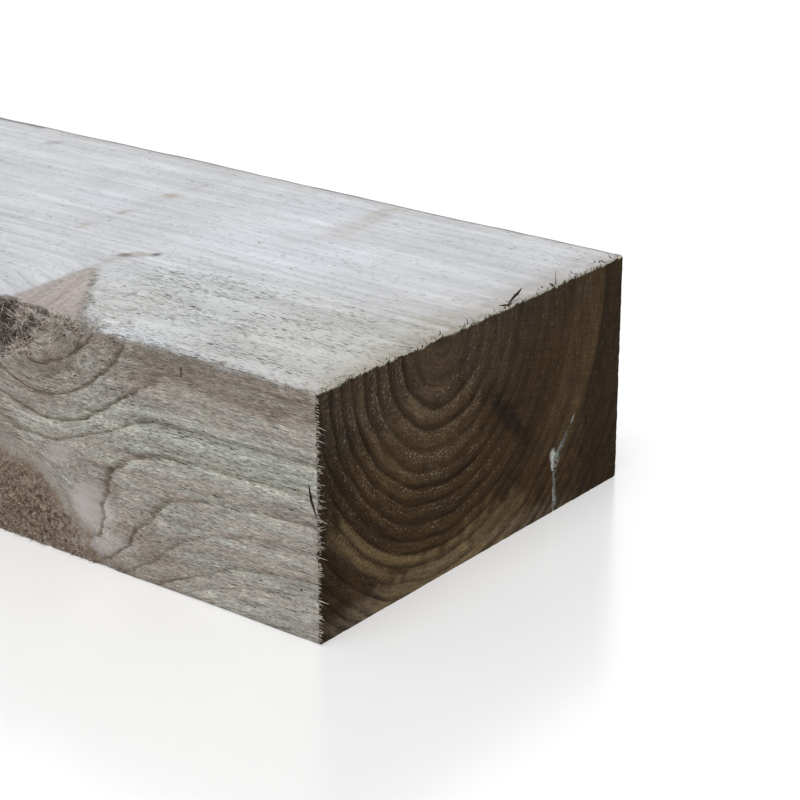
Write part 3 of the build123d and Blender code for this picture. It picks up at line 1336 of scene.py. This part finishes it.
MARKS = {
    Face.TOP: (
        # Marks of the sticks that kept sleepers apart in the stack, and paler wood between them
        Mark(Tint.TAN, (207, 148), (3.5, 5), 0.55),
        Mark(Tint.TAN, (207, 119), (3, 5), 0.4),
        Mark(Tint.TAN, (207, 94), (3, 5), 0.4),
        Mark(Tint.TAN, (207, 171), (3, 5), 0.25),
        Mark(Tint.TAN, (207, 140), (5, 60), 0.1),
        Mark(Tint.TAN, (185, 178), (4, 30), 0.12),
        Mark(Tint.TAN, (116, 186), (6, 10), 0.22),
        Mark(Tint.TAN, (106, 147.5), (10, 3.5), 0.3),
        Mark(Tint.TAN, (121, 129), (2.5, 4), 0.2),
        Mark(Tint.TAN, (290, 150), (14, 4), 0.1),
        Mark(Tint.TAN, (235, 150), (9, 4), 0.1),
        Mark(Tint.FROST, (140, 172), (26, 24), 0.4),
        Mark(Tint.FROST, (226, 126), (24, 14), 0.45),
        Mark(Tint.FROST, (120, 115), (60, 45), 0.3),
        Mark(Tint.TAN, (114, 168), (8, 27), 0.22),
        # A pin knot, and a resin pocket beside the pith
        Mark(Tint.BROWN, (314, 180), (3.5, 5), 0.3, turn=40),
        Mark(Tint.OLIVE, (160, 77), (7, 4), 0.45, turn=-42),
        Mark(Tint.BROWN, (164.5, 73), (3.5, 3), 0.7, turn=-42),
        Mark(Tint.DARK, (154, 82), (2.4, 3), 0.8, turn=20),
        Mark(Tint.BLUSH, (164, 64), (2.5, 9), 0.4),
        # Dirt that the saw dragged over the end's top edge
        Mark(Tint.OLIVE, (0, 100), (15, 140), 0.26),
        Mark(Tint.TAN, (0, 100), (30, 140), 0.12),
        Mark(Tint.TAN, (20, 30), (60, 90), 0.23),
        Mark(Tint.BROWN, (0, 40), (4, 90), 0.25),
        Mark(Tint.TAN, (122, 25), (26, 32), 0.18),
        Mark(Tint.GREEN, (60, 45), (110, 48), 0.3),
        # Darker along the far arris: a dark line, and a faint tan band beside it
        Mark(Tint.DARK, (200, 200), (420, 2.8), 0.75),
        Mark(Tint.TAN, (200, 199), (420, 10), 0.16),
    ),
    Face.NEAR_SIDE: (
        # Grain that was cut smooth beside the lower knot
        Mark(Tint.LILAC, (115, 25), (13, 11), 0.95, ragged=0.15),
        Mark(Tint.LILAC, (133, 43), (10, 5), 0.8, turn=-10),
        Mark(Tint.LILAC, (110, 10), (17, 5), 0.7, turn=-12),
        # Treatment that dried greener or browner along the near side
        Mark(Tint.GREEN, (50, 64), (75, 14), 0.55),
        Mark(Tint.GREEN, (30, 12), (45, 12), 0.12),
        Mark(Tint.GREEN, (135, 55), (25, 6), 0.4, turn=-10),
        Mark(Tint.BROWN, (40, 93), (95, 12), 0.42),
        Mark(Tint.BROWN, (152, 15), (16, 10), 0.3, ragged=0.6),
        Mark(Tint.BROWN, (105, 37), (5, 10), 0.35),
        Mark(Tint.BROWN, (92, 8), (34, 16), 0.35),
        Mark(Tint.BROWN, (140, 72), (25, 12), 0.25, turn=-15),
        Mark(Tint.BROWN, (136, 88), (28, 14), 0.25),
    ),
    Face.CHECKED_END: (
        # Treatment that reached unevenly into the end grain, and painted shade beside the near edge
        Mark(Tint.OLIVE, (42, 26), (48, 34), 0.56, rings=(80.3, 84.6)),
        Mark(Tint.OLIVE, (22, 24), (26, 30), 0.52, rings=(86, 90.5)),
        Mark(Tint.OLIVE, (70, 2), (42, 10), 0.55, rings=(84.6, 120)),
        Mark(Tint.OLIVE, (112, 8), (30, 14), 0.38),
        Mark(Tint.OLIVE, (168, 62), (30, 60), 0.1, rings=(84, 104)),
        Mark(Tint.OLIVE, (174, 62), (26, 60), 0.06, rings=(95, 104)),
        Mark(Tint.OLIVE, (58, 75), (14, 8), 0.25, rings=(26, 33)),
        Mark(Tint.DARK, (116, 56), (16, 4.5), 0.85, turn=-47),
        Mark(Tint.DARK, (134, 38), (15, 5), 0.45, turn=-40),
        Mark(Tint.DARK, (198, 45), (45, 80), 0.65, rings=(105, 200)),
        Mark(Tint.DARK, (140, 80), (60, 45), 0.25),
        # Painted shade: a dark band down the end beside its near edge
        Mark(Tint.DARK, (0, 50), (22, 80), 0.6),
        # More of the treatment
        Mark(Tint.DARK, (90, 102), (120, 12), 0.1),
        Mark(Tint.OLIVE, (62, 62), (42, 22), 0.18),
        # Dust on the foot and the upper part of the end
        Mark(Tint.TAN, (50, 0), (130, 10.5), 0.24, ragged=0.1),
        Mark(Tint.FROST, (50, 100), (130, 36), 0.017),
        # Resin that ran out of the check and dried
        Mark(Tint.CHALK, (152.8, 8), (1.1, 14), 1.0, ragged=0.4),
        Mark(Tint.CHALK, (152.2, 22), (2.3, 5), 1.0, ragged=0.5),
        Mark(Tint.CHALK, (160, 31), (0.8, 10), 0.5, turn=-40, ragged=0.4),
    ),
}


@dataclass(frozen=True)
class Strand:
    """One tapered wood fibre.

    Attributes:
        foot: where it stands.
        aim: the way it sets out.
        curl: how its direction changes over its length.
        length, width: its size.
    """

    foot: np.ndarray
    aim: np.ndarray
    curl: np.ndarray
    length: float
    width: float


@dataclass(frozen=True)
class FibreRow:
    """A row of lifted fibres along a sawn edge.

    Attributes:
        start, end: the edge, with distances along the sleeper from the checked end.
        count: how many fibres.
        length: shortest and longest.
        width: of a fibre at its foot.
        aim: the way they point, in the sleeper's frame.
        stray: how far they stray from that.
        curl: how much they bend.
        inset: how far their feet scatter from the edge.
    """

    start: Size
    end: Size
    count: int
    length: tuple[float, float]
    width: float
    aim: Size
    stray: float
    curl: float
    inset: Size

    def strands(self, end_x: float, rng: np.random.Generator) -> list[Strand]:
        """Scatter the fibres.

        Args:
            end_x: the checked end.
            rng: picks where they stand and how they lie.

        Returns:
            The fibres.
        """
        strands = []
        for _ in range(self.count):
            foot = np.array(self.start) + rng.uniform() * (np.array(self.end) - self.start)
            foot = foot + rng.normal(size=3) * self.inset
            foot[0] = end_x - foot[0]
            aim = np.array(self.aim) + rng.normal(size=3) * self.stray
            curl = rng.normal(size=3) * self.curl
            width = self.width * rng.uniform(0.6, 1.3)
            strands.append(Strand(foot, aim, curl, rng.uniform(*self.length), width))
        return strands


@dataclass
class LiftedFibres:
    """Fibres and splinters that the saw lifted, as small closed strands in one mesh. Two dark
    strands stand in for a narrow crack instead, as painted shade.

    A single fibre is too fine to show, so that each strand is a small bundle of them.

    Attributes:
        name: the piece's name.
        strands: the fibres.
        finish: their finish.
        lowest: the height that none goes below.
        rings: rings of corners along a strand.
        sides: corners in a ring.
        taper: how much thinner a strand grows, as a share of its width.
    """

    name: str
    strands: list[Strand]
    finish: LiftedFibre
    lowest: float
    rings: int = 4
    sides: int = 3
    taper: float = 0.75

    def build(self) -> bpy.types.Object:
        """Make all the strands as one mesh.

        Returns:
            The object, dressed in its finish.
        """
        points: list[np.ndarray] = []
        faces: list[tuple[int, ...]] = []
        for strand in self.strands:
            self.add_strand(points, faces, strand)
        corners = np.array(points)
        corners[:, 2] = np.maximum(corners[:, 2], self.lowest)
        mesh = smooth_mesh(self.name, corners, faces)
        mesh.materials.append(self.finish.material())
        return linked(self.name, mesh)

    def add_strand(
        self, points: list[np.ndarray], faces: list[tuple[int, ...]], strand: Strand
    ) -> None:
        """Add one tapered, curling, closed strand.

        Args:
            points, faces: the mesh so far, which grows.
            strand: the strand.
        """
        first = len(points)
        aim = strand.aim / np.linalg.norm(strand.aim)
        side = np.cross(aim, (0.3, 0.5, 0.8))
        side /= np.linalg.norm(side)
        other = np.cross(aim, side)
        for ring in range(self.rings):
            share = ring / self.rings
            middle = strand.foot + (aim * share + strand.curl * share * share * 0.5) * strand.length
            radius = strand.width / 2 * (1 - self.taper * share)
            for corner in range(self.sides):
                turn = 2 * math.pi * corner / self.sides
                points.append(middle + radius * (math.cos(turn) * side + math.sin(turn) * other))
        points.append(strand.foot + (aim + strand.curl * 0.5) * strand.length)
        tip = len(points) - 1
        faces.append(tuple(first + self.sides - 1 - c for c in range(self.sides)))
        for ring in range(self.rings - 1):
            base = first + ring * self.sides
            for corner in range(self.sides):
                after = (corner + 1) % self.sides
                faces.append((base + corner, base + after, base + self.sides + after,
                              base + self.sides + corner))
        base = first + (self.rings - 1) * self.sides
        for corner in range(self.sides):
            faces.append((base + corner, base + (corner + 1) % self.sides, tip))


# Rows of fibres, with distances along the sleeper from the checked end
PALE_ROWS = (
    FibreRow(
        (0.6, -99.9, 1), (0.6, -99.9, 98), 300, (0.6, 2.0), 0.38,
        (1, -0.06, -0.05), 0.07, 0.03, (0.5, 0.1, 0),
    ),
    FibreRow(
        (1.5, -100, 1), (1.5, -100, 98), 22, (2.5, 6.5), 0.5,
        (1, -0.08, -0.06), 0.07, 0.03, (0.8, 0.1, 0),
    ),
    FibreRow(
        (0.2, -99.8, 40), (0.2, -99.8, 62), 14, (1.5, 4.0), 0.35,
        (1, 0.2, 0.1), 0.3, 0.4, (0.3, 0.2, 0),
    ),
    FibreRow(
        (108, -98, 100), (132, -99, 100), 130, (2.0, 5.0), 0.4,
        (0.5, 0, 0.1), 0.6, 0.9, (2, 1.6, 0),
    ),
    FibreRow(
        (3, -99.9, 99.5), (110, -99.9, 99.5), 150, (0.9, 3.0), 0.3,
        (0.4, -0.2, -0.35), 0.5, 0.6, (0, 0.2, 0.3),
    ),
)
DARK_ROWS = (
    FibreRow(
        (1.2, -99, 99.9), (1.2, 99, 99.9), 90, (0.6, 2.0), 0.6,
        (-0.7, 0.2, 0.08), 0.4, 0.3, (1.1, 0, 0.1),
    ),
    FibreRow(
        (0, -98, 99.0), (0, 99, 99.0), 170, (0.6, 1.6), 0.5,
        (0.1, 0.2, 0.5), 0.6, 0.8, (0.1, 0, 0.3),
    ),
    FibreRow(
        (0, -98, 99.7), (0, 99, 99.7), 26, (0.8, 2.2), 0.35,
        (0.1, 0, 0.5), 0.6, 0.9, (0.3, 0, 0.2),
    ),
)
# Single splinters, and dark strands that stand in for a crack: foot, aim, curl, length and width
PALE_SPLINTERS = (
    ((1.0, -100, 18.3), (1, -0.05, 0), (0, 0, 0), 6.2, 0.6),
    ((2.3, -100, 11.4), (1, -0.05, -0.06), (0, 0, 0), 5.4, 0.6),
    ((0.8, -100, 72.0), (1, -0.05, 0), (0, 0, 0), 4.4, 0.5),
    ((0.8, -100, 40.0), (1, -0.05, 0.1), (0, 0, 0), 4.6, 0.5),
)
DARK_SPLINTERS_AND_CRACK_SHADE = (
    ((1.5, 24.7, 102.4), (0, 0.92, 0.39), (0, -0.05, 0.1), 4.5, 1.5),
    ((1.5, 24.7, 102.4), (0, -0.92, -0.39), (0, 0, 0), 6.4, 1.5),
    ((0.1, 18, 100.2), (-0.66, -0.75, 0.03), (0, 0, 0), 4.4, 1.5),
    ((0.2, 18.6, 100.2), (-0.3, 0.8, 0.5), (0.2, 0.2, -1.2), 3.2, 0.8),
    ((0.4, 51, 99.9), (-0.05, -0.08, 1), (0, 0.1, 0), 7.0, 0.4),
    ((0.3, 49, 100), (-0.5, -0.6, 0.5), (0, 0, 0), 2.4, 1.2),
    ((0.4, -9, 99.9), (-0.1, 0.2, 1), (-0.6, -0.4, -0.9), 4.5, 0.5),
    # Painted shade: two dark strands along the near side stand in for a narrow crack there
    ((3.1, -100.05, 57.7), (-1.2, 0, 6.1), (0, 0, 0), 6.5, 1.5),
    ((3.1, -100.05, 57.7), (2.7, 0, -7.2), (0, 0, 0), 8.0, 1.5),
    # A single splinter near the top of the near side
    ((65, -100.05, 94.5), (-0.1, 0, -1), (0.1, 0, 0), 5.0, 0.6),
)


@dataclass
class Studio:
    """A white floor, soft light from above and the camera.

    Attributes:
        floor_side: side of the square floor, in metres.
        floor_tone, floor_roughness, floor_ior: its colour, and how it mirrors.
        floor_glow: how much light of its own the camera sees.
        azimuth, elevation: the camera's direction round the sleeper, in degrees.
        lens, sensor: focal length and the sensor's width, in millimetres.
        stand: where the camera stands, in metres, from the foot of the near corner of the end.
        sun, sun_spread: the lamp's strength, and the angle that its light comes from, in degrees.
        sun_aim: the way its light falls.
        surround: how strongly the white surround lights the sleeper.
    """

    floor_side: float = 30.0
    floor_tone: str = "E0E0E0"
    floor_roughness: float = 0.22
    floor_ior: float = 2.25
    floor_glow: float = 0.25
    azimuth: float = 37.636
    elevation: float = 21.4
    lens: float = 106.381
    sensor: float = 36.0
    stand: Size = (0.49868, -0.5985, 0.40225)
    sun: float = 1.9
    sun_spread: float = 40.0
    sun_aim: Size = (-0.12, 0.32, -1.0)
    surround: float = 0.45

    def build(self, corner: Vector) -> bpy.types.Object:
        """Set up the floor, the light and the camera.

        Args:
            corner: foot of the near corner of the checked end, in metres.

        Returns:
            The floor.
        """
        floor = self.lay_floor()
        self.light()
        camera = bpy.data.cameras.new("camera")
        camera.lens = self.lens
        camera.sensor_width = self.sensor
        camera.clip_start = 0.01
        eye = linked("camera", camera)
        azimuth, elevation = math.radians(self.azimuth), math.radians(self.elevation)
        back = Vector((math.sin(azimuth) * math.cos(elevation),
                       -math.cos(azimuth) * math.cos(elevation), math.sin(elevation)))
        eye.location = corner + Vector(self.stand)
        eye.rotation_euler = (-back).to_track_quat("-Z", "Y").to_euler()
        bpy.context.scene.camera = eye
        return floor

    def lay_floor(self) -> bpy.types.Object:
        """Lay a smooth white floor that keeps the shadow and a faint reflection.

        Returns:
            The floor.
        """
        half = self.floor_side / 2
        mesh = bpy.data.meshes.new("floor")
        ring = [(-half, -half, 0), (half, -half, 0), (half, half, 0), (-half, half, 0)]
        mesh.from_pydata(ring, [], [(0, 1, 2, 3)])
        material, add = new_material("white_lacquered_board")
        board = add("BsdfPrincipled", {
            "Base Color": linear(self.floor_tone), "Roughness": self.floor_roughness,
            "IOR": self.floor_ior,
        })
        rays = add("LightPath", out="Is Camera Ray")
        lit = add("Math", {0: rays, 1: self.floor_glow}, operation="MULTIPLY")
        glow = add("Emission", {"Color": linear("FFFFFF"), "Strength": lit})
        both = add("AddShader", {0: board, 1: glow})
        add("OutputMaterial", {"Surface": both})
        mesh.materials.append(material)
        return linked("floor", mesh)

    def light(self) -> None:
        """A white surround, and one large soft lamp high in front."""
        world = bpy.data.worlds.new("surround")
        bpy.context.scene.world = world
        world.use_nodes = True
        world.node_tree.nodes.clear()
        add = partial(add_node, world.node_tree)
        rays = add("LightPath").node.outputs
        seen = rays["Is Camera Ray"]
        for kind in ("Is Glossy Ray", "Is Transmission Ray"):
            seen = add("Math", {0: seen, 1: rays[kind]}, operation="MAXIMUM")
        strength = add("MapRange", {0: seen, 3: self.surround, 4: 1.0})
        sky = add("Background", {"Color": linear("FFFFFF"), "Strength": strength})
        add("OutputWorld", {"Surface": sky})
        lamp = bpy.data.lights.new("softbox", "SUN")
        lamp.energy = self.sun
        lamp.angle = math.radians(self.sun_spread)
        softbox = linked("softbox", lamp)
        softbox.rotation_euler = Vector(self.sun_aim).to_track_quat("-Z", "Y").to_euler()
        bpy.context.scene.view_settings.view_transform = "Standard"


def main() -> None:
    """Build the sleeper and its studio."""
    logging.basicConfig(level=logging.INFO, format="%(message)s")
    low, high = (np.array(corner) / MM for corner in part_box(NODE))
    log = GrownLog(end_x=high[0], length=high[0] - low[0])
    surface = SleeperSurface(low=low, high=high, log=log)
    body = surface.build()
    body.data.materials.append(SawnSoftwood().material())
    body.data.materials.append(CrosscutEndGrain().material())
    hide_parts(NODE)
    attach(body, BODY)
    triangles = sum(len(f) - 2 for f in surface.faces)
    LOG.info("%s: %d corners, %d triangles", body.name, len(surface.lattice), triangles)

    rng = np.random.default_rng(int(Seed.LOOSE_FIBRES))
    pale = [strand for row in PALE_ROWS for strand in row.strands(high[0], rng)]
    dark = [strand for row in DARK_ROWS for strand in row.strands(high[0], rng)]
    for fibres, splinters in ((pale, PALE_SPLINTERS), (dark, DARK_SPLINTERS_AND_CRACK_SHADE)):
        for foot, aim, curl, length, width in splinters:
            stand = np.array([high[0] - foot[0], foot[1], foot[2]])
            fibres.append(Strand(stand, np.array(aim), np.array(curl), length, width))
    shreds, fuzz = surface.shreds_and_fuzz(rng)
    for name, strands, finish in (
        ("edge_fibres", pale, LiftedFibre("lifted_pale_fibre", "CBC6BC", "A59D91")),
        # Dark fibres along the end's edges, and painted shade in the crack on the near side
        ("end_fibres_and_crack_shade", dark, LiftedFibre("lifted_treated_fibre_and_crack_shade", "43362A", "221B14")),
        ("torn_shreds", shreds, LiftedFibre("torn_knot_shred", "E2DAD2", "9C8B7E")),
        ("knot_fuzz", fuzz, LiftedFibre("crumbled_knot_fibre", "C6B8A6", "64503E")),
    ):
        piece = LiftedFibres(name, strands, finish, low[2]).build()
        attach(piece, BODY)
        LOG.info("%s: %d faces", piece.name, len(piece.data.polygons))

    floor = Studio().build(Vector((high[0], low[1], low[2])) * MM)


if __name__ == "__main__":
    main()
